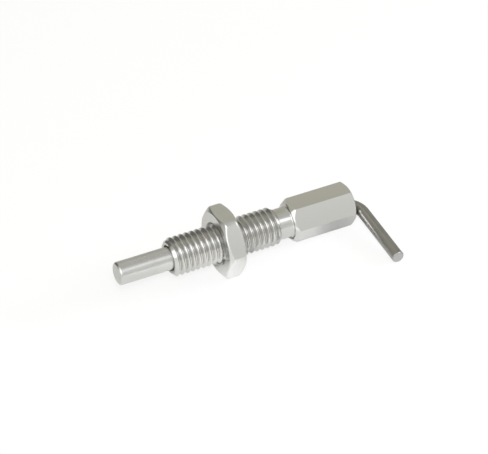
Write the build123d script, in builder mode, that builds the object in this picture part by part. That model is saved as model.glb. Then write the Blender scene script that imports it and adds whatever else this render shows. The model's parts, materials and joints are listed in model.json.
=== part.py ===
from build123d import *
import os
from math import cos, radians, sin, sqrt, tan

# Index plunger with a bent rod as its handle. Sizes are in millimetres.
# The pin slides along X. The origin is on its axis, at the threaded body's front face.
# +X runs back to the handle, +Z is up, and the handle's leg points to -Y.

# Threaded body, turned from hexagon bar
thread_diameter = 10.0
thread_pitch = 1.5
thread_depth_share = 0.6134
thread_length = 30.0
neck_diameter = 8.0
neck_length = 3.5
hexagon_across_flats = 10.0
hexagon_length = 17.4
rod_hole_length = 2.6
mouth_chamfer = 0.2

# Lock nut, thin, chamfered on both faces
nut_across_flats = 17.0
nut_across_corners = 19.0
nut_thickness = 4.7
nut_position = 13.2
nut_bearing_diameter = 16.4
nut_mouth_chamfer = 0.6

# Locking pin: the nose enters the index hole, the guide runs in the body
nose_diameter = 6.0
nose_length = 14.3
nose_chamfer = 0.4
guide_diameter = 6.6
guide_length = 18.0
guide_edge = 0.2
rod_socket_depth = 10.0

# Handle, a round rod bent once
rod_diameter = 3.2
rod_bend_radius = 5.2
rod_end_chamfer = 0.25
handle_reach = 24.2
handle_droop = 7.1

# Return spring, coiled round the rod
spring_wire = 0.7
spring_diameter = 6.1
spring_wire_sides = 6
spring_active_turns = 10
spring_end_gap = 0.04

# Clearances between parts that move on each other
guide_clearance = 0.05
rod_clearance = 0.08
seat_clearance = 0.2
handle_gap = 0.2
nut_clearance = 0.05

# The turned ends of the hexagons: slope to the end face, and the body's end circle over its flats
chamfer_angle = 30.0
body_front_angle = 45.0
body_circle_share = 0.95

# Places and radii worked out from the sizes above
thread_radius = thread_diameter / 2
thread_depth = thread_depth_share * thread_pitch
thread_root_radius = thread_radius - thread_depth
neck_radius = neck_diameter / 2
hexagon_front = thread_length + neck_length
body_rear = hexagon_front + hexagon_length
bore_radius = guide_diameter / 2 + guide_clearance
rod_radius = rod_diameter / 2
rod_start = guide_length - rod_socket_depth
rod_hole_radius = rod_radius + rod_clearance
leg_position = body_rear + handle_gap + rod_radius
bend_start = leg_position - rod_bend_radius
bore_depth = bend_start - rod_hole_length
spring_coil_radius = (spring_diameter - spring_wire) / 2
spring_length = bore_depth - guide_length


def chamfered_ends(front, rear, circle_radius, outer_radius, front_angle):
    """Half outline of a turned blank whose two ends slope away outside a circle."""
    front_slope = (outer_radius - circle_radius) * tan(radians(front_angle))
    rear_slope = (outer_radius - circle_radius) * tan(radians(chamfer_angle))
    return [
        (front, 0),
        (front, circle_radius),
        (front + front_slope, outer_radius),
        (rear - rear_slope, outer_radius),
        (rear, circle_radius),
        (rear, 0),
    ]


# Threaded body
hexagon_corner_radius = hexagon_across_flats / sqrt(3)
hexagon_circle_radius = body_circle_share * hexagon_across_flats / 2

# The seat for the bend is as wide at the rear face as the inside of the bend there
inner_bend_radius = rod_bend_radius - rod_radius
bend_reach = rod_bend_radius - sqrt(handle_gap * (2 * inner_bend_radius - handle_gap))
seat_radius = bend_reach + seat_clearance

with BuildPart() as threaded_body:
    with BuildSketch(Plane.YZ.offset(hexagon_front)):
        RegularPolygon(hexagon_across_flats / 2, 6, major_radius=False)
    extrude(amount=hexagon_length)
    with BuildSketch(Plane.XY):
        with BuildLine():
            Polyline(
                chamfered_ends(
                    hexagon_front,
                    body_rear,
                    hexagon_circle_radius,
                    hexagon_corner_radius,
                    body_front_angle,
                ),
                close=True,
            )
        make_face()
    revolve(axis=Axis.X, mode=Mode.INTERSECT)
    # Shank: the thread at its outer diameter, sloped at both ends down to its root, and the neck
    with BuildSketch(Plane.XY):
        with BuildLine():
            Polyline(
                (0, 0),
                (0, thread_root_radius),
                (thread_depth, thread_radius),
                (thread_length - (thread_radius - neck_radius), thread_radius),
                (thread_length, neck_radius),
                (hexagon_front + hexagon_length / 2, neck_radius),
                (hexagon_front + hexagon_length / 2, 0),
                close=True,
            )
        make_face()
    revolve(axis=Axis.X)
    # Stepped bore: guide bore from the front, rod hole opening into a seat for the bend
    with BuildSketch(Plane.XY):
        with BuildLine():
            Polyline(
                (0, 0),
                (0, bore_radius + mouth_chamfer),
                (mouth_chamfer, bore_radius),
                (bore_depth, bore_radius),
                (bore_depth, rod_hole_radius),
                (bend_start, rod_hole_radius),
                (body_rear, seat_radius),
                (body_rear, 0),
                close=True,
            )
        make_face()
    revolve(axis=Axis.X, mode=Mode.SUBTRACT)
threaded_body.part.label = "threaded_body"

# Lock nut, flats level with the body's
nut_bore_radius = thread_radius + nut_clearance

with BuildPart() as lock_nut:
    with BuildSketch(Plane.YZ.offset(nut_position)):
        RegularPolygon(nut_across_flats / 2, 6, major_radius=False)
    extrude(amount=nut_thickness)
    with BuildSketch(Plane.XY):
        with BuildLine():
            Polyline(
                chamfered_ends(
                    nut_position,
                    nut_position + nut_thickness,
                    nut_bearing_diameter / 2,
                    nut_across_corners / 2,
                    chamfer_angle,
                ),
                close=True,
            )
        make_face()
    revolve(axis=Axis.X, mode=Mode.INTERSECT)
    with BuildSketch(Plane.XY):
        with BuildLine():
            Polyline(
                (nut_position, 0),
                (nut_position, nut_bore_radius + nut_mouth_chamfer),
                (nut_position + nut_mouth_chamfer, nut_bore_radius),
                (nut_position + nut_thickness - nut_mouth_chamfer, nut_bore_radius),
                (nut_position + nut_thickness, nut_bore_radius + nut_mouth_chamfer),
                (nut_position + nut_thickness, 0),
                close=True,
            )
        make_face()
    revolve(axis=Axis.X, mode=Mode.SUBTRACT)
lock_nut.part.label = "lock_nut"

# Locking pin: nose, shoulder, guide, and a blind socket for the rod
nose_radius = nose_diameter / 2
guide_radius = guide_diameter / 2

with BuildPart() as locking_pin:
    with BuildSketch(Plane.XY):
        with BuildLine():
            Polyline(
                (-nose_length, 0),
                (-nose_length, nose_radius - nose_chamfer),
                (-nose_length + nose_chamfer, nose_radius),
                (0, nose_radius),
                (guide_radius - nose_radius, guide_radius),
                (guide_length - guide_edge, guide_radius),
                (guide_length, guide_radius - guide_edge),
                (guide_length, rod_radius),
                (rod_start, rod_radius),
                (rod_start, 0),
                close=True,
            )
        make_face()
    revolve(axis=Axis.X)
locking_pin.part.label = "locking_pin"

# Handle: straight through the rear wall, then bent square towards the leg
droop = radians(handle_droop)
handle_plane = Plane(origin=(0, 0, 0), x_dir=(1, 0, 0), z_dir=(0, sin(droop), -cos(droop)))

with BuildPart() as l_handle:
    with BuildLine(handle_plane) as rod_path:
        FilletPolyline(
            (rod_start, 0),
            (leg_position, 0),
            (leg_position, handle_reach),
            radius=rod_bend_radius,
        )
    with BuildSketch(Plane.YZ.offset(rod_start)):
        Circle(rod_radius)
    sweep(path=rod_path.line)
    chamfer(l_handle.faces().filter_by(GeomType.PLANE).edges(), rod_end_chamfer)
l_handle.part.label = "l_handle"

# Return spring: closed end coils ground flat, between the guide's rear face and the rear wall.
# The round wire is swept with a few flat sides, which keeps twelve small coils light.
end_pitch = spring_wire + spring_end_gap
active_length = spring_length - 2 * end_pitch
active_pitch = active_length / spring_active_turns

with BuildPart() as return_spring:
    with BuildLine() as coil:
        Helix(end_pitch, end_pitch, spring_coil_radius, (guide_length, 0, 0), (1, 0, 0))
        Helix(active_pitch, active_length, spring_coil_radius, (guide_length + end_pitch, 0, 0), (1, 0, 0))
        Helix(end_pitch, end_pitch, spring_coil_radius, (bore_depth - end_pitch, 0, 0), (1, 0, 0))
    with BuildSketch(Plane(origin=coil.line @ 0, z_dir=coil.line % 0)):
        RegularPolygon(spring_wire / 2, spring_wire_sides)
    sweep(path=coil.line, is_frenet=True)
    split(bisect_by=Plane.YZ.offset(guide_length), keep=Keep.TOP)
    split(bisect_by=Plane.YZ.offset(bore_depth), keep=Keep.BOTTOM)
return_spring.part.label = "return_spring"

os.makedirs("parts", exist_ok=True)
export_step(threaded_body.part, "parts/threaded_body.step")
export_step(lock_nut.part, "parts/lock_nut.step")
export_step(locking_pin.part, "parts/locking_pin.step")
export_step(l_handle.part, "parts/l_handle.step")
export_step(return_spring.part, "parts/return_spring.step")
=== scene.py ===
import json
from math import cos, pi, radians, sin, sqrt, tan

import bpy
from mathutils import Matrix, Vector


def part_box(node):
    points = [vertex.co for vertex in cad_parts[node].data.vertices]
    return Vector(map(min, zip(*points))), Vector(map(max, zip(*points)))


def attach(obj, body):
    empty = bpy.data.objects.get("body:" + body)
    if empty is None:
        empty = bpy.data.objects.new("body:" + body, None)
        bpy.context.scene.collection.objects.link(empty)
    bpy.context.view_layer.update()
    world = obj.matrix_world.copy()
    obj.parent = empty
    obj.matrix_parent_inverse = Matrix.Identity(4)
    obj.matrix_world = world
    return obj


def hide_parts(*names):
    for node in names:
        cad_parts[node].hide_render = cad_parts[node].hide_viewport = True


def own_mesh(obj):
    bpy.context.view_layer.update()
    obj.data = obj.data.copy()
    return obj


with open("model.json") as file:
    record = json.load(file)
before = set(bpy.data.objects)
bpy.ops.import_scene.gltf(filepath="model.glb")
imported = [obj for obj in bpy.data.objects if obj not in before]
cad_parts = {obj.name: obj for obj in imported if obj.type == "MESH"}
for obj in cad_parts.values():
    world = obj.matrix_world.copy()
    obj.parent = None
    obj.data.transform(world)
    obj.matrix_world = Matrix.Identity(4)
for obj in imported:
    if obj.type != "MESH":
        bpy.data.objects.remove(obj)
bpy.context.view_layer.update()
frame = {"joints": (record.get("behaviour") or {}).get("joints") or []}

# Index plunger: a turned and threaded body, a thin nut, a ground pin, a bent rod and a coil spring.
# Lengths are in metres. The pin's axis is the X axis, and +X runs back to the handle.

MM = 0.001

# Places read from the frame
pin_low, pin_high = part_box("locking_pin")
body_low, body_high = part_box("threaded_body")
nut_low, nut_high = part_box("lock_nut")
rod_low, rod_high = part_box("l_handle")
spring_low, spring_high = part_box("return_spring")

# Thread, coarse metric form
thread_pitch = 1.5 * MM
thread_radius = 5.0 * MM
thread_depth = 0.6134 * thread_pitch
thread_root = thread_radius - thread_depth
crest_width = thread_pitch / 8
flank_angle = radians(30)
thread_end = 30.0 * MM
thread_phase = 1.77 * MM
thread_play = 0.05 * MM
thread_rounding = 0.06 * MM
thread_turns = 24
turns_in_front = 3
far_off = 1.0

# Body behind the thread
neck_radius = 4.0 * MM
neck_fillet = 0.4 * MM
hexagon_front = 33.5 * MM
hexagon_flats = 2 * body_high.z
hexagon_circle = 4.75 * MM
hexagon_front_slope = radians(45)
hexagon_rounding = 0.15 * MM
hexagon_end_depth = 1.3 * MM
bore_radius = 3.35 * MM
mouth_chamfer = 0.12 * MM
seat_start = 47.5 * MM
seat_radius = 4.22 * MM
rod_hole_radius = 1.68 * MM

# Nut. Its flats end at this angle from their middle, where a side of the lathe form begins.
nut_flats = 2 * nut_high.z
nut_flat_end = radians(27)
nut_corner_radius = nut_high.z / cos(nut_flat_end)
nut_bearing = 8.2 * MM
nut_mouth_chamfer = 0.6 * MM
nut_rounding = 0.33 * MM
nut_end_depth = 1.0 * MM
turned_slope = radians(30)

# Pin
nose_radius = 3.0 * MM
nose_chamfer = 0.4 * MM
guide_radius = pin_high.z
shoulder_start = 1.2 * MM
guide_edge = 0.2 * MM
pin_rounding = 0.06 * MM

# Rod
rod_radius = 1.6 * MM
bend_radius = 5.2 * MM
rod_end_chamfer = 0.25 * MM
rod_rounding = 0.05 * MM
leg_place = rod_high.x - rod_radius
bend_start = leg_place - bend_radius
handle_reach = 24.2 * MM
handle_droop = radians(7.1)
leg_direction = Vector((0, -cos(handle_droop), -sin(handle_droop)))

# Spring
wire_radius = 0.35 * MM
coil_radius = 2.7 * MM
end_pitch = 0.74 * MM
active_turns = 10
spring_length = spring_high.x - spring_low.x
pull_joint = next(joint for joint in frame["joints"] if joint["name"] == "plunger_pull")
stroke = pull_joint["range_m"][1]

# How finely the forms are divided
lathe_sides = 144
nut_lathe_sides = 120
fillet_steps = 6
thread_steps = 96
rod_sides = 64
bend_steps = 32
coil_steps = 32
coil_wire_steps = 4
rounding_steps = 2
end_rounding_steps = 4

# Bars and cutters reach past the faces that they make. The body's blank is thicker than its
# thread, and its head is wider than the hexagon's corners.
past_face = 0.5 * MM
blank_allowance = 0.1 * MM
blank_corner_share = 1.05

# Points closer than this are one point. Edges sharper than this are rounded, or stay crisp.
same_point = 0.002 * MM
same_point_after_cut = 0.01 * MM
same_point_when_ground = 0.0001 * MM
edge_inset = 0.02 * MM
sharp_edge = radians(20)
crisp_edge = radians(25)


def clear_selection():
    """Nothing stays selected, so that an operator acts on the new piece alone."""
    if bpy.context.mode != "OBJECT":
        bpy.ops.object.mode_set(mode="OBJECT")
    bpy.ops.object.select_all(action="DESELECT")


def take(piece):
    """Makes this piece the only selected and the active one."""
    clear_selection()
    piece.select_set(True)
    bpy.context.view_layer.objects.active = piece


def name_new(name):
    """Names the new primitive and moves its place and turn into its mesh."""
    piece = bpy.context.object
    piece.name = name
    bpy.ops.object.transform_apply(location=True, rotation=True, scale=True)
    return piece


def edit(piece, elements):
    """Opens the piece for editing with all of its vertices, edges or faces selected."""
    take(piece)
    bpy.ops.object.mode_set(mode="EDIT")
    bpy.ops.mesh.select_mode(type=elements)
    bpy.ops.mesh.select_all(action="SELECT")


def face_outward():
    """Turns all faces of the piece outwards and ends its editing."""
    bpy.ops.mesh.select_all(action="SELECT")
    bpy.ops.mesh.normals_make_consistent(inside=False)
    bpy.ops.object.mode_set(mode="OBJECT")


def draw_out(step):
    """Extrudes the selected face by this step."""
    bpy.ops.mesh.extrude_region_move(TRANSFORM_OT_translate={"value": step})


def disc(name, x, radius, sides):
    """A disc across the X axis, opened for editing with its face selected."""
    clear_selection()
    bpy.ops.mesh.primitive_circle_add(
        vertices=sides, radius=radius, fill_type="NGON", location=(x, 0, 0), rotation=(0, pi / 2, 0)
    )
    piece = name_new(name)
    edit(piece, "FACE")
    return piece


def turned(name, stations, sides=lathe_sides):
    """A lathe form: a disc is drawn out and resized from station (x, radius) to station."""
    x, radius = stations[0]
    piece = disc(name, x, radius, sides)
    for next_x, next_radius in stations[1:]:
        draw_out((next_x - x, 0, 0))
        share = next_radius / radius
        bpy.ops.transform.resize(value=(1, share, share), center_override=(next_x, 0, 0))
        x, radius = next_x, next_radius
    face_outward()
    return piece


def sloped_ends(front, rear, circle, outer, front_slope, rear_slope):
    """Stations of a turned blank whose two ends slope away outside a circle."""
    front_rise = (outer - circle) * tan(front_slope)
    rear_rise = (outer - circle) * tan(rear_slope)
    return [(front, circle), (front + front_rise, outer), (rear - rear_rise, outer), (rear, circle)]


def hexagon_bar(flats, front, rear):
    """Hexagon bar along X with two flats facing up and down."""
    clear_selection()
    bpy.ops.mesh.primitive_cylinder_add(
        vertices=6,
        radius=flats / sqrt(3),
        depth=rear - front,
        location=((front + rear) / 2, 0, 0),
        rotation=(0, pi / 2, 0),
    )
    return name_new("hexagon_bar")


def modify(piece, kind, **settings):
    """Adds a modifier with these settings and applies it."""
    take(piece)
    bpy.ops.object.modifier_add(type=kind)
    modifier = piece.modifiers[-1]
    for name, value in settings.items():
        setattr(modifier, name, value)
    bpy.ops.object.modifier_apply(modifier=modifier.name)


def combine(piece, tool, operation):
    """Cuts, keeps or adds the tool's solid, and removes the tool."""
    modify(piece, "BOOLEAN", operation=operation, object=tool, solver="EXACT")
    bpy.data.objects.remove(tool)


def round_edges(piece, width):
    """Rounds every sharp edge."""
    modify(
        piece,
        "BEVEL",
        width=width,
        segments=rounding_steps,
        limit_method="ANGLE",
        angle_limit=sharp_edge,
    )


def round_ends(piece, width, front, rear, depth, least_radius):
    """Rounds the edges where a turned end meets the flats: they lie within this depth of the
    front and rear faces, and outside this radius."""
    edit(piece, "EDGE")
    bpy.ops.mesh.remove_doubles(threshold=same_point_after_cut)
    bpy.ops.mesh.select_all(action="DESELECT")
    bpy.ops.mesh.edges_select_sharp(sharpness=sharp_edge)
    bpy.ops.object.mode_set(mode="OBJECT")
    corners = piece.data.vertices
    chosen = []
    for edge in piece.data.edges:
        middle = (corners[edge.vertices[0]].co + corners[edge.vertices[1]].co) / 2
        near_front = front + edge_inset < middle.x < front + depth
        near_rear = rear - depth < middle.x < rear - edge_inset
        outside = middle.yz.length > least_radius
        if edge.select and outside and (near_front or near_rear):
            chosen.append(edge.index)
    bpy.ops.object.mode_set(mode="EDIT")
    bpy.ops.mesh.select_all(action="DESELECT")
    bpy.ops.object.mode_set(mode="OBJECT")
    for index in chosen:
        piece.data.edges[index].select = True
    bpy.ops.object.mode_set(mode="EDIT")
    bpy.ops.mesh.bevel(offset=width, segments=end_rounding_steps, affect="EDGES")
    bpy.ops.object.mode_set(mode="OBJECT")


def smooth(piece):
    """Smooth shading that leaves sharp edges crisp."""
    take(piece)
    bpy.ops.object.shade_smooth_by_angle(angle=crisp_edge)


def outline(name, points):
    """A row of edges through the points, drawn out one point at a time from a collapsed plane."""
    clear_selection()
    bpy.ops.mesh.primitive_plane_add(size=MM, location=points[0])
    piece = name_new(name)
    edit(piece, "VERT")
    bpy.ops.mesh.merge(type="CENTER")
    for here, there in zip(points, points[1:]):
        step = Vector(there) - Vector(here)
        bpy.ops.mesh.extrude_vertices_move(TRANSFORM_OT_translate={"value": step})
    bpy.ops.object.mode_set(mode="OBJECT")
    return piece


def close_end(piece, low, high):
    """Closes the open helical end that lies between two places on the axis."""
    edit(piece, "EDGE")
    bpy.ops.mesh.select_all(action="DESELECT")
    bpy.ops.mesh.select_non_manifold(
        use_wire=False,
        use_boundary=True,
        use_multi_face=False,
        use_non_contiguous=False,
        use_verts=False,
    )
    bpy.ops.object.mode_set(mode="OBJECT")
    for edge in piece.data.edges:
        middle = sum(piece.data.vertices[v].co.x for v in edge.vertices) / 2
        edge.select = edge.select and low < middle < high
    bpy.ops.object.mode_set(mode="EDIT")
    bpy.ops.mesh.extrude_edges_move(TRANSFORM_OT_translate={"value": (0, 0, 0)})
    bpy.ops.mesh.merge(type="COLLAPSE")
    bpy.ops.object.mode_set(mode="OBJECT")


def thread_bar(name, play=0.0):
    """A bar with the full thread form: one tooth's profile wound along the axis."""
    crest = thread_radius + play
    root = thread_root + play
    half_crest = crest_width / 2
    half_foot = half_crest + thread_depth * tan(flank_angle)
    middle = thread_phase - turns_in_front * thread_pitch
    tooth = [
        (middle - thread_pitch / 2, root),
        (middle - half_foot, root),
        (middle - half_crest, crest),
        (middle + half_crest, crest),
        (middle + half_foot, root),
        (middle + thread_pitch / 2, root),
    ]
    bar = outline(name, [(x, 0, radius) for x, radius in tooth])
    edit(bar, "VERT")
    bpy.ops.mesh.bevel(affect="VERTICES", offset=thread_rounding, segments=rounding_steps)
    modify(
        bar,
        "SCREW",
        axis="X",
        angle=2 * pi,
        steps=thread_steps,
        render_steps=thread_steps,
        screw_offset=thread_pitch,
        iterations=thread_turns,
        use_smooth_shade=False,
    )
    edit(bar, "VERT")
    bpy.ops.mesh.remove_doubles(threshold=same_point)
    half_way = middle + thread_turns * thread_pitch / 2
    close_end(bar, half_way - far_off, half_way)
    close_end(bar, half_way, half_way + far_off)
    edit(bar, "FACE")
    face_outward()
    return bar


def make_body():
    """Threaded shank, neck and hexagon, turned from one bar, with the stepped bore."""
    blank_radius = thread_radius + blank_allowance
    shank = [
        (0, thread_root),
        (thread_depth + blank_allowance, blank_radius),
        (thread_end - (blank_radius - neck_radius), blank_radius),
        (thread_end, neck_radius),
    ]
    fillet = []
    for i in range(fillet_steps + 1):
        turn = pi / 2 * i / fillet_steps
        x = hexagon_front - neck_fillet * (1 - sin(turn))
        fillet.append((x, neck_radius + neck_fillet * (1 - cos(turn))))
    head_radius = blank_corner_share * hexagon_flats / sqrt(3)
    head = sloped_ends(
        hexagon_front, body_high.x, hexagon_circle, head_radius, hexagon_front_slope, turned_slope
    )
    body = turned("turned_body", shank + fillet + head)
    bar = hexagon_bar(hexagon_flats, thread_end + past_face, body_high.x + past_face)
    combine(bar, thread_bar("thread_form"), "UNION")
    combine(body, bar, "INTERSECT")
    round_ends(
        body, hexagon_rounding, hexagon_front, body_high.x, hexagon_end_depth, hexagon_circle
    )
    seat_slope = (seat_radius - rod_hole_radius) / (body_high.x - seat_start)
    bore = turned(
        "bore",
        [
            (-past_face, bore_radius + mouth_chamfer + past_face),
            (mouth_chamfer, bore_radius),
            (spring_high.x, bore_radius),
            (spring_high.x, rod_hole_radius),
            (seat_start, rod_hole_radius),
            (body_high.x + past_face, seat_radius + past_face * seat_slope),
        ],
    )
    combine(body, bore, "DIFFERENCE")
    smooth(body)
    return body


def make_nut():
    """Thin nut: hexagon with both faces turned, its hole threaded in step with the body."""
    front, rear = nut_low.x, nut_high.x
    blank = sloped_ends(front, rear, nut_bearing, nut_corner_radius, turned_slope, turned_slope)
    nut = turned("thin_nut", blank, nut_lathe_sides)
    combine(nut, hexagon_bar(nut_flats, front - past_face, rear + past_face), "INTERSECT")
    round_ends(nut, nut_rounding, front, rear, nut_end_depth, nut_bearing)
    mouth = thread_radius + thread_play + nut_mouth_chamfer
    slope_length = mouth - thread_root
    countersinks = turned(
        "countersinks",
        [
            (front - past_face, mouth + past_face),
            (front + slope_length, thread_root),
            (rear - slope_length, thread_root),
            (rear + past_face, mouth + past_face),
        ],
    )
    combine(countersinks, thread_bar("tap", thread_play), "UNION")
    combine(nut, countersinks, "DIFFERENCE")
    smooth(nut)
    return nut


def make_pin():
    """Ground pin: nose with a broken edge, shoulder, guide, and the socket for the rod."""
    pin = turned(
        "ground_pin",
        [
            (pin_low.x, nose_radius - nose_chamfer),
            (pin_low.x + nose_chamfer, nose_radius),
            (shoulder_start, nose_radius),
            (shoulder_start + guide_radius - nose_radius, guide_radius),
            (pin_high.x - guide_edge, guide_radius),
            (pin_high.x, guide_radius - guide_edge),
            (pin_high.x, rod_radius),
            (rod_low.x, rod_radius),
        ],
    )
    round_edges(pin, pin_rounding)
    smooth(pin)
    return pin


def make_rod():
    """Round rod: straight through the body, one bend, and the leg, with both ends' edges broken."""
    end_radius = rod_radius - rod_end_chamfer
    swell = rod_radius / end_radius
    bend_centre = Vector((bend_start, 0, 0)) + bend_radius * leg_direction
    bend_axis = leg_direction.cross(Vector((1, 0, 0)))
    rod = disc("bent_rod", rod_low.x, end_radius, rod_sides)
    draw_out((rod_end_chamfer, 0, 0))
    bpy.ops.transform.resize(value=(swell, swell, swell))
    draw_out((bend_start - rod_low.x - rod_end_chamfer, 0, 0))
    bpy.ops.mesh.spin(steps=bend_steps, angle=pi / 2, center=bend_centre, axis=bend_axis)
    draw_out(leg_direction * (handle_reach - bend_radius - rod_end_chamfer))
    draw_out(leg_direction * rod_end_chamfer)
    bpy.ops.transform.resize(value=(1 / swell, 1 / swell, 1 / swell))
    bpy.ops.mesh.select_all(action="SELECT")
    bpy.ops.mesh.remove_doubles(threshold=same_point)
    face_outward()
    round_edges(rod, rod_rounding)
    smooth(rod)
    return rod


def make_spring():
    """Round wire with closed ends, ground flat against the guide and the rear wall."""
    active_length = spring_length - 2 * end_pitch
    line = bpy.data.curves.new("coil_line", "CURVE")
    line.dimensions = "3D"
    line.bevel_depth = wire_radius
    line.bevel_resolution = coil_wire_steps
    line.use_fill_caps = True
    path = line.splines.new("POLY")
    path.points.add(coil_steps * (active_turns + 2))
    for i, point in enumerate(path.points):
        turn = i / coil_steps
        along = end_pitch * min(turn, 1)
        along += active_length / active_turns * min(max(turn - 1, 0), active_turns)
        along += end_pitch * max(turn - 1 - active_turns, 0)
        y = coil_radius * sin(2 * pi * turn)
        z = coil_radius * cos(2 * pi * turn)
        point.co = (spring_low.x + along, y, z, 1)
    coil = bpy.data.objects.new("coil_spring", line)
    bpy.context.scene.collection.objects.link(coil)
    take(coil)
    bpy.ops.object.convert(target="MESH")
    coil = bpy.context.object
    edit(coil, "VERT")
    bpy.ops.mesh.remove_doubles(threshold=same_point)
    for place, side in ((spring_low.x, -1), (spring_high.x, 1)):
        bpy.ops.mesh.select_all(action="SELECT")
        bpy.ops.mesh.bisect(
            plane_co=(place, 0, 0),
            plane_no=(side, 0, 0),
            use_fill=True,
            clear_outer=True,
            threshold=same_point_when_ground,
        )
    face_outward()
    smooth(coil)
    return coil


class Wire:
    """One output in a node tree. Arithmetic on it adds Math nodes."""

    def __init__(self, tree, socket=None):
        self.tree = tree
        self.socket = socket

    def node(self, kind, settings=None, inputs=None, output=0):
        """Adds any node: its settings are set first, then its sockets get their values or links."""
        made = self.tree.nodes.new(kind)
        for name, value in (settings or {}).items():
            if name == "stops":
                stops = made.color_ramp.elements
                while len(stops) < len(value):
                    stops.new(0.5)
                for stop, (place, colour) in zip(stops, value):
                    stop.position = place
                    stop.color = colour
            else:
                setattr(made, name, value)
        for key, value in (inputs or {}).items():
            if isinstance(value, Wire):
                self.tree.links.new(value.socket, made.inputs[key])
            else:
                made.inputs[key].default_value = value
        return Wire(self.tree, made.outputs[output] if made.outputs else None)

    def maths(self, operation, *values):
        """A Math node on these values."""
        return self.node("ShaderNodeMath", {"operation": operation}, dict(enumerate(values)))

    def __add__(self, other):
        return self.maths("ADD", self, other)

    def __radd__(self, other):
        return self.maths("ADD", other, self)

    def __sub__(self, other):
        return self.maths("SUBTRACT", self, other)

    def __rsub__(self, other):
        return self.maths("SUBTRACT", other, self)

    def __mul__(self, other):
        return self.maths("MULTIPLY", self, other)

    def __rmul__(self, other):
        return self.maths("MULTIPLY", other, self)

    def clamped(self):
        """Kept between 0 and 1."""
        return self.maths("MINIMUM", self.maths("MAXIMUM", self, 0.0), 1.0)

    def rising(self, start, width):
        """0 at the start and 1 past the width. A negative width lies on the start's other side."""
        return ((self - start) * (1 / width)).clamped()

    def along(self, axis):
        """One coordinate of a place."""
        return self.node("ShaderNodeSeparateXYZ", {}, {0: self}, output=axis)


def own_tree(owner):
    """Gives a material or the world an empty node tree."""
    owner.use_nodes = True
    owner.node_tree.nodes.clear()
    return Wire(owner.node_tree)


def mixed(share, first, second):
    """Colour between the first, at share 0, and the second, at share 1."""
    return share.node(
        "ShaderNodeMix", {"data_type": "RGBA"}, {0: share, 6: first, 7: second}, output=2
    )


def grey(tone):
    """Colour with the same red, green and blue."""
    return (tone, tone, tone, 1)


def noise(place, scale, roughness):
    """Grey noise between about 0.3 and 0.7."""
    return place.node(
        "ShaderNodeTexNoise",
        {"noise_dimensions": "3D"},
        {"Vector": place, "Scale": scale, "Detail": noise_detail, "Roughness": roughness},
    )


def stretched(place, scale):
    """The place with each axis scaled by itself."""
    return place.node("ShaderNodeMapping", {}, {"Vector": place, "Scale": scale})


def axis_distance(place):
    """Distance from the X axis."""
    across = place.node(
        "ShaderNodeVectorMath", {"operation": "MULTIPLY"}, {0: place, 1: (0, 1, 1)}
    )
    return place.node("ShaderNodeVectorMath", {"operation": "LENGTH"}, {0: across}, output="Value")


# Steel: clouds are wide changes of tone, and marks are what the tool left
cloud_scale = 0.25 / MM
cloud_roughness = 0.5
cloud_share = 0.6
mark_scale = 2.0 / MM
mark_roughness = 0.6
mark_depth = 0.002 * MM
mark_strength = 0.5
rough_spread = 0.15
noise_detail = 4.0
noise_low = 0.3
noise_middle = 0.5
noise_span = 0.4
groove_floor = 3.95 * MM
groove_fade = 0.1 * MM
even_marks = (1, 1, 1)
turning_marks = (6, 1, 1)


def metal(name, dark, light, rough, marks, finishes_and_shade=()):
    """Bare steel: its colour wanders between two greys, and fine marks roughen it.
    marks squeezes the marks' pattern along each axis.
    finishes_and_shade are for places that differ in finish or carry painted shade: a function that
    finds the place, its colour, its roughness."""
    material = bpy.data.materials.new(name)
    start = own_tree(material)
    place = start.node("ShaderNodeTexCoord", output="Object")
    cloud = noise(place, cloud_scale, cloud_roughness)
    grain = noise(stretched(place, marks), mark_scale, mark_roughness)
    tone = cloud * cloud_share + grain * (1 - cloud_share)
    colour = mixed(tone.rising(noise_low, noise_span), dark + (1,), light + (1,))
    roughness = rough + (grain - noise_middle) * rough_spread
    for find, other_colour, other_rough in finishes_and_shade:
        here = find(place)
        colour = mixed(here, colour, other_colour + (1,))
        roughness = roughness + here * (other_rough - rough)
    bump = start.node(
        "ShaderNodeBump", {}, {"Strength": mark_strength, "Distance": mark_depth, "Height": grain}
    )
    shader = start.node(
        "ShaderNodeBsdfPrincipled",
        {},
        {"Base Color": colour, "Metallic": 1.0, "Roughness": roughness, "Normal": bump},
    )
    start.node("ShaderNodeOutputMaterial", {}, {"Surface": shader})
    return material


def groove_painted_shade(place):
    """The thread's flanks and roots, which lie deeper than its crests: a darker colour there is
    painted shade between the teeth.
    """
    along = place.along("X")
    radius = axis_distance(place)
    front_cone = along + thread_root
    rear_cone = thread_end + neck_radius - along
    cones = place.maths("MINIMUM", front_cone, rear_cone)
    crest = place.maths("MINIMUM", cones, thread_radius)
    depth = ((crest - radius) * (1 / thread_depth)).clamped()
    return depth * radius.rising(groove_floor, groove_fade)


def bar_stock(place):
    """The hexagon, which keeps the drawn bar's own skin."""
    behind_neck = place.along("X").rising(hexagon_front, edge_inset)
    return behind_neck * axis_distance(place).rising(hexagon_circle, edge_inset)


def cut_end(place):
    """The rod's sawn end face."""
    reach = place.node(
        "ShaderNodeVectorMath",
        {"operation": "DOT_PRODUCT"},
        {0: place, 1: leg_direction},
        output="Value",
    )
    return reach.rising(handle_reach - rod_end_chamfer, rod_end_chamfer)


def finish_piece(piece, body, node, material):
    """The piece takes its material, stands for its CAD node and rides on its body."""
    piece.data.materials.clear()
    piece.data.materials.append(material)
    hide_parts(node)
    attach(piece, body)


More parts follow.
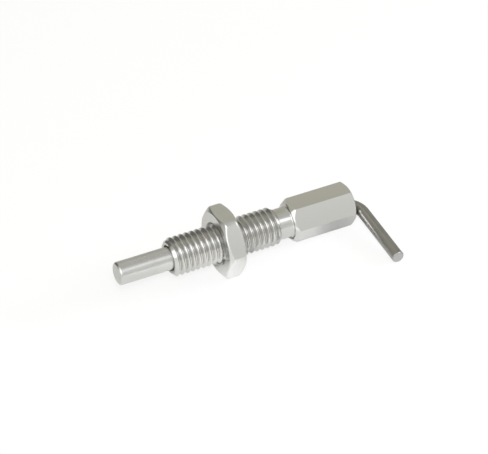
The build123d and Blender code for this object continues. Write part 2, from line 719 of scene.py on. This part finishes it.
turned_steel = metal(
    "turned_steel",
    (0.62, 0.62, 0.61),
    (0.69, 0.69, 0.68),
    0.18,
    turning_marks,
    # The thread's grooves get a painted shade, a darker colour; the hexagon keeps the drawn bar's own
    # skin.
    [(groove_painted_shade, (0.57, 0.565, 0.55), 0.2), (bar_stock, (0.71, 0.71, 0.70), 0.15)],
)
faced_steel = metal(
    "faced_steel", (0.65, 0.65, 0.645), (0.72, 0.72, 0.715), 0.24, turning_marks
)
ground_steel = metal(
    "ground_steel", (0.585, 0.585, 0.58), (0.655, 0.655, 0.65), 0.26, turning_marks
)
drawn_steel = metal(
    "drawn_steel",
    (0.33, 0.325, 0.31),
    (0.41, 0.405, 0.39),
    0.22,
    even_marks,
    [(cut_end, (0.49, 0.495, 0.50), 0.35)],
)
spring_wire = metal("spring_wire", (0.45, 0.45, 0.44), (0.55, 0.55, 0.54), 0.3, even_marks)

body = make_body()
finish_piece(body, "housing", "threaded_body", turned_steel)
nut = make_nut()
finish_piece(nut, "nut", "lock_nut", faced_steel)
pin = make_pin()
finish_piece(pin, "plunger", "locking_pin", ground_steel)
rod = make_rod()
finish_piece(rod, "plunger", "l_handle", drawn_steel)
spring = make_spring()
finish_piece(spring, "spring", "return_spring", spring_wire)
(spring_length - stroke) / spring_length
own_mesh(spring)

# The lower rear edges of the nut and the hexagon touch the table, where their roundings begin
nut_edge_inset = 0.17 * MM
hexagon_edge_inset = 0.14 * MM
nut_edge = Vector((nut_high.x - nut_edge_inset, 0, nut_low.z))
hexagon_edge = Vector((body_high.x - hexagon_edge_inset, 0, body_low.z))
table_size = 3.0

# The paper's tones. The metal's mirror image shows it lighter at the nut and the pin, a painted pool
# of light, and darker under the hexagon, past the rod and far behind: painted shadow and a painted
# falloff of light. To the camera it is nearly white and mostly clear.
paper_tone = grey(0.66)
painted_pin_light = grey(0.69)
painted_nut_light = grey(0.95)
painted_far_shade = (0.40, 0.39, 0.36, 1)
hexagon_shade = 0.2
rod_shade = 0.38
camera_tone = grey(0.72)
camera_glow = grey(0.06)
camera_clearness = 0.8
black = grey(0)
white = grey(1)

# Where the paper's painted light and shade change: the start and the width of each change,
# along the part for the first ones, and away from the camera for the last three
pin_change = (-17.5 * MM, -2 * MM)
nut_middle = -7 * MM
nut_change = (0, 14 * MM)
hexagon_change = (22.5 * MM, 3 * MM)
rod_change = (38 * MM, 5 * MM)
behind_nut_change = (-0.5 * MM, 6 * MM)
behind_hexagon_change = (-10 * MM, 3 * MM)
far_change = (10 * MM, 150 * MM)
far_power = 0.5


def white_paper():
    """Paper under the part. Its places count from the nut's rear edge: x along the part, and
    y away from the camera. Its tones for the metal's mirror image hold painted light and shade."""
    material = bpy.data.materials.new("white_paper")
    start = own_tree(material)
    place = start.node("ShaderNodeTexCoord", output="Object")
    x = place.along("X")
    y = place.along("Y")
    # Painted light and shade: a lighter pool under the pin and the nut, painted shadow under the
    # hexagon and past the rod, and darker far behind, a painted falloff of light.
    pin_light_pool = x.rising(*pin_change)
    off_nut = x.maths("ABSOLUTE", x - nut_middle).rising(*nut_change)
    nut_light_pool = (1 - off_nut) * (1 - y.rising(*behind_nut_change))
    painted_hexagon_shadow = x.rising(*hexagon_change) * y.rising(*behind_hexagon_change)
    painted_rod_shadow = x.rising(*rod_change)
    far = y.rising(*far_change)
    tone = mixed(pin_light_pool, paper_tone, painted_pin_light)
    tone = mixed(nut_light_pool, tone, painted_nut_light)
    tone = mixed(painted_hexagon_shadow * hexagon_shade, tone, black)
    tone = mixed(painted_rod_shadow * rod_shade, tone, black)
    tone = mixed(far.maths("POWER", far, far_power), tone, painted_far_shade)
    seen = start.node("ShaderNodeLightPath", output="Is Camera Ray")
    paper = start.node(
        "ShaderNodeBsdfPrincipled",
        {},
        {
            "Base Color": mixed(seen, tone, camera_tone),
            "Roughness": 1.0,
            "Specular IOR Level": 0.0,
            "Emission Color": mixed(seen, black, camera_glow),
            "Emission Strength": 1.0,
        },
    )
    clear = start.node("ShaderNodeBsdfTransparent")
    surface = start.node(
        "ShaderNodeMixShader", {}, {0: seen * camera_clearness, 1: paper, 2: clear}
    )
    start.node("ShaderNodeOutputMaterial", {}, {"Surface": surface})
    return material


def lay_table():
    """The table that the plunger lies on, tilted along the line through its two lowest edges."""
    clear_selection()
    bpy.ops.mesh.primitive_plane_add(size=table_size)
    table = bpy.context.object
    table.name = "table"
    along = (hexagon_edge - nut_edge).normalized()
    across = Vector((0, 1, 0))
    turn = Matrix((along, across, along.cross(across))).transposed().to_4x4()
    table.matrix_world = Matrix.Translation(nut_edge) @ turn
    table.data.materials.append(white_paper())


def looking_at(aim, azimuth, elevation, distance):
    """Place and turn of what looks at the aim from this far away. The angles are in degrees."""
    flat = cos(radians(elevation))
    side = Vector(
        (flat * cos(radians(azimuth)), flat * sin(radians(azimuth)), sin(radians(elevation)))
    )
    facing = side.to_track_quat("Z", "Y").to_matrix().to_4x4()
    return Matrix.Translation(aim + distance * side) @ facing


def stand_card(name, aim, azimuth, elevation, distance, width, height, radiance):
    """Card that looks at this place. Only the metal's mirror image shows it."""
    clear_selection()
    bpy.ops.mesh.primitive_plane_add(size=1.0)
    card = bpy.context.object
    card.name = name
    size = Matrix.Diagonal((width, height, 1, 1))
    card.matrix_world = looking_at(aim, azimuth, elevation, distance) @ size
    card.visible_camera = False
    card.visible_diffuse = False
    card.visible_shadow = False
    material = bpy.data.materials.new(name)
    start = own_tree(material)
    glow = start.node("ShaderNodeEmission", {}, {"Color": radiance + (1,), "Strength": 1.0})
    start.node("ShaderNodeOutputMaterial", {}, {"Surface": glow})
    card.data.materials.append(material)


def add_lamp(name, aim, azimuth, elevation, distance, size, energy):
    """Square lamp that looks at this place. It lights the paper, and no mirror image shows it."""
    lamp = bpy.data.lights.new(name, "AREA")
    lamp.shape = "SQUARE"
    lamp.size = size
    lamp.energy = energy
    holder = bpy.data.objects.new(name, lamp)
    holder.matrix_world = looking_at(aim, azimuth, elevation, distance)
    bpy.context.scene.collection.objects.link(holder)
    holder.visible_camera = False
    holder.visible_glossy = False


# The room as bands that run along the part: an angle in degrees round its axis, from below
# over the camera's side, the ceiling and the wall behind, and the light that comes from there
room_bands = [
    (-180, (0.86, 0.86, 0.84)),
    (-60, (1.0, 1.0, 1.0)),
    (-10, (0.70, 0.69, 0.64)),
    (5, (0.60, 0.59, 0.54)),
    (22, (0.55, 0.54, 0.47)),
    (36, (0.53, 0.52, 0.44)),
    (50, (0.49, 0.485, 0.415)),
    (68, (0.53, 0.52, 0.445)),
    (84, (0.61, 0.60, 0.55)),
    (93, (0.57, 0.57, 0.54)),
    (107, (0.60, 0.60, 0.58)),
    (117, (0.72, 0.72, 0.71)),
    (124, (1.2, 1.2, 1.18)),
    (133, (1.2, 1.2, 1.18)),
    (140, (0.92, 0.92, 0.90)),
    (150, (0.80, 0.80, 0.77)),
    (164, (0.72, 0.73, 0.69)),
    (176, (0.80, 0.81, 0.77)),
]
brightest_band = 1.6


def light_world():
    """The room around the table. The camera sees it white."""
    world = bpy.data.worlds.new("room")
    bpy.context.scene.world = world
    start = own_tree(world)
    direction = start.node("ShaderNodeTexCoord", output="Generated")
    turn = start.maths("ARCTAN2", direction.along("Z"), direction.along("Y"))
    stops = []
    for angle, light in room_bands:
        stops.append(((angle + 180) / 360, [part / brightest_band for part in light] + [1]))
    band = start.node(
        "ShaderNodeValToRGB", {"stops": stops}, {"Fac": turn * (1 / (2 * pi)) + 0.5}
    )
    room = start.node(
        "ShaderNodeVectorMath", {"operation": "SCALE"}, {0: band, "Scale": brightest_band}
    )
    seen = start.node("ShaderNodeLightPath", output="Is Camera Ray")
    background = start.node(
        "ShaderNodeBackground", {}, {"Color": mixed(seen, room, white), "Strength": 1.0}
    )
    start.node("ShaderNodeOutputWorld", {}, {"Surface": background})


# The camera as it was fitted to the photograph: its place, what is right and down in its picture,
# and its focal length in the picture's pixels
camera_place = Vector((-305.70, -703.28, 540.36)) * MM
picture_right = Vector((0.8963, -0.4422, -0.0333))
picture_down = Vector((-0.2769, -0.4993, -0.8210))
picture_width = 488
focal_length = 3728.6
sensor_width = 36
camera_reach = (0.01, 20)


def place_camera():
    """Camera where the photograph was taken from."""
    ahead = picture_right.cross(picture_down).normalized()
    right = picture_down.cross(ahead).normalized()
    down = ahead.cross(right)
    turn = Matrix((right, -down, -ahead)).transposed().to_4x4()
    view = bpy.data.cameras.new("photo_camera")
    view.sensor_width = sensor_width
    view.lens = focal_length / picture_width * sensor_width
    view.clip_start, view.clip_end = camera_reach
    camera = bpy.data.objects.new("photo_camera", view)
    camera.matrix_world = Matrix.Translation(camera_place) @ turn
    bpy.context.scene.collection.objects.link(camera)
    bpy.context.scene.camera = camera


lay_table()

# Places that the cards and lamps look at
middle = Vector((18, 0, 0)) * MM
neck = Vector((31, 0, 0)) * MM
hexagon = Vector((40, -5, 2)) * MM
leg = Vector((52.7, -15, -2)) * MM

# What each card looks at, its azimuth, elevation and distance, its width, height and light
stand_card("dark_card", middle, 131, 14, 0.1, 0.078, 0.074, (0.17, 0.17, 0.16))
stand_card("left_softbox", middle, -155, 29, 0.35, 0.36, 0.3, (1.8, 1.8, 1.8))
stand_card("key_softbox", neck, -52, 50, 0.25, 0.12, 0.075, (1.75, 1.75, 1.73))
stand_card("right_softbox", middle, -30, 40, 0.35, 0.2, 0.2, (3.4, 3.4, 3.4))
stand_card("front_card", middle, -116, 40, 0.35, 0.1, 0.1, (2.6, 2.6, 2.6))
stand_card("stripe_card", hexagon, -167, 40, 0.35, 0.1, 0.1, (3.6, 3.6, 3.5))
stand_card("top_card", leg, 91, 57, 0.35, 0.15, 0.13, (0.68, 0.67, 0.62))
light_world()

# What each lamp looks at, its azimuth, elevation and distance, its size and power
add_lamp("flash", middle, -114, 40, 0.95, 0.12, 7.0)
add_lamp("right_lamp", middle, -30, 28, 0.5, 0.16, 1.4)

place_camera()
bpy.context.scene.view_settings.view_transform = "Standard"
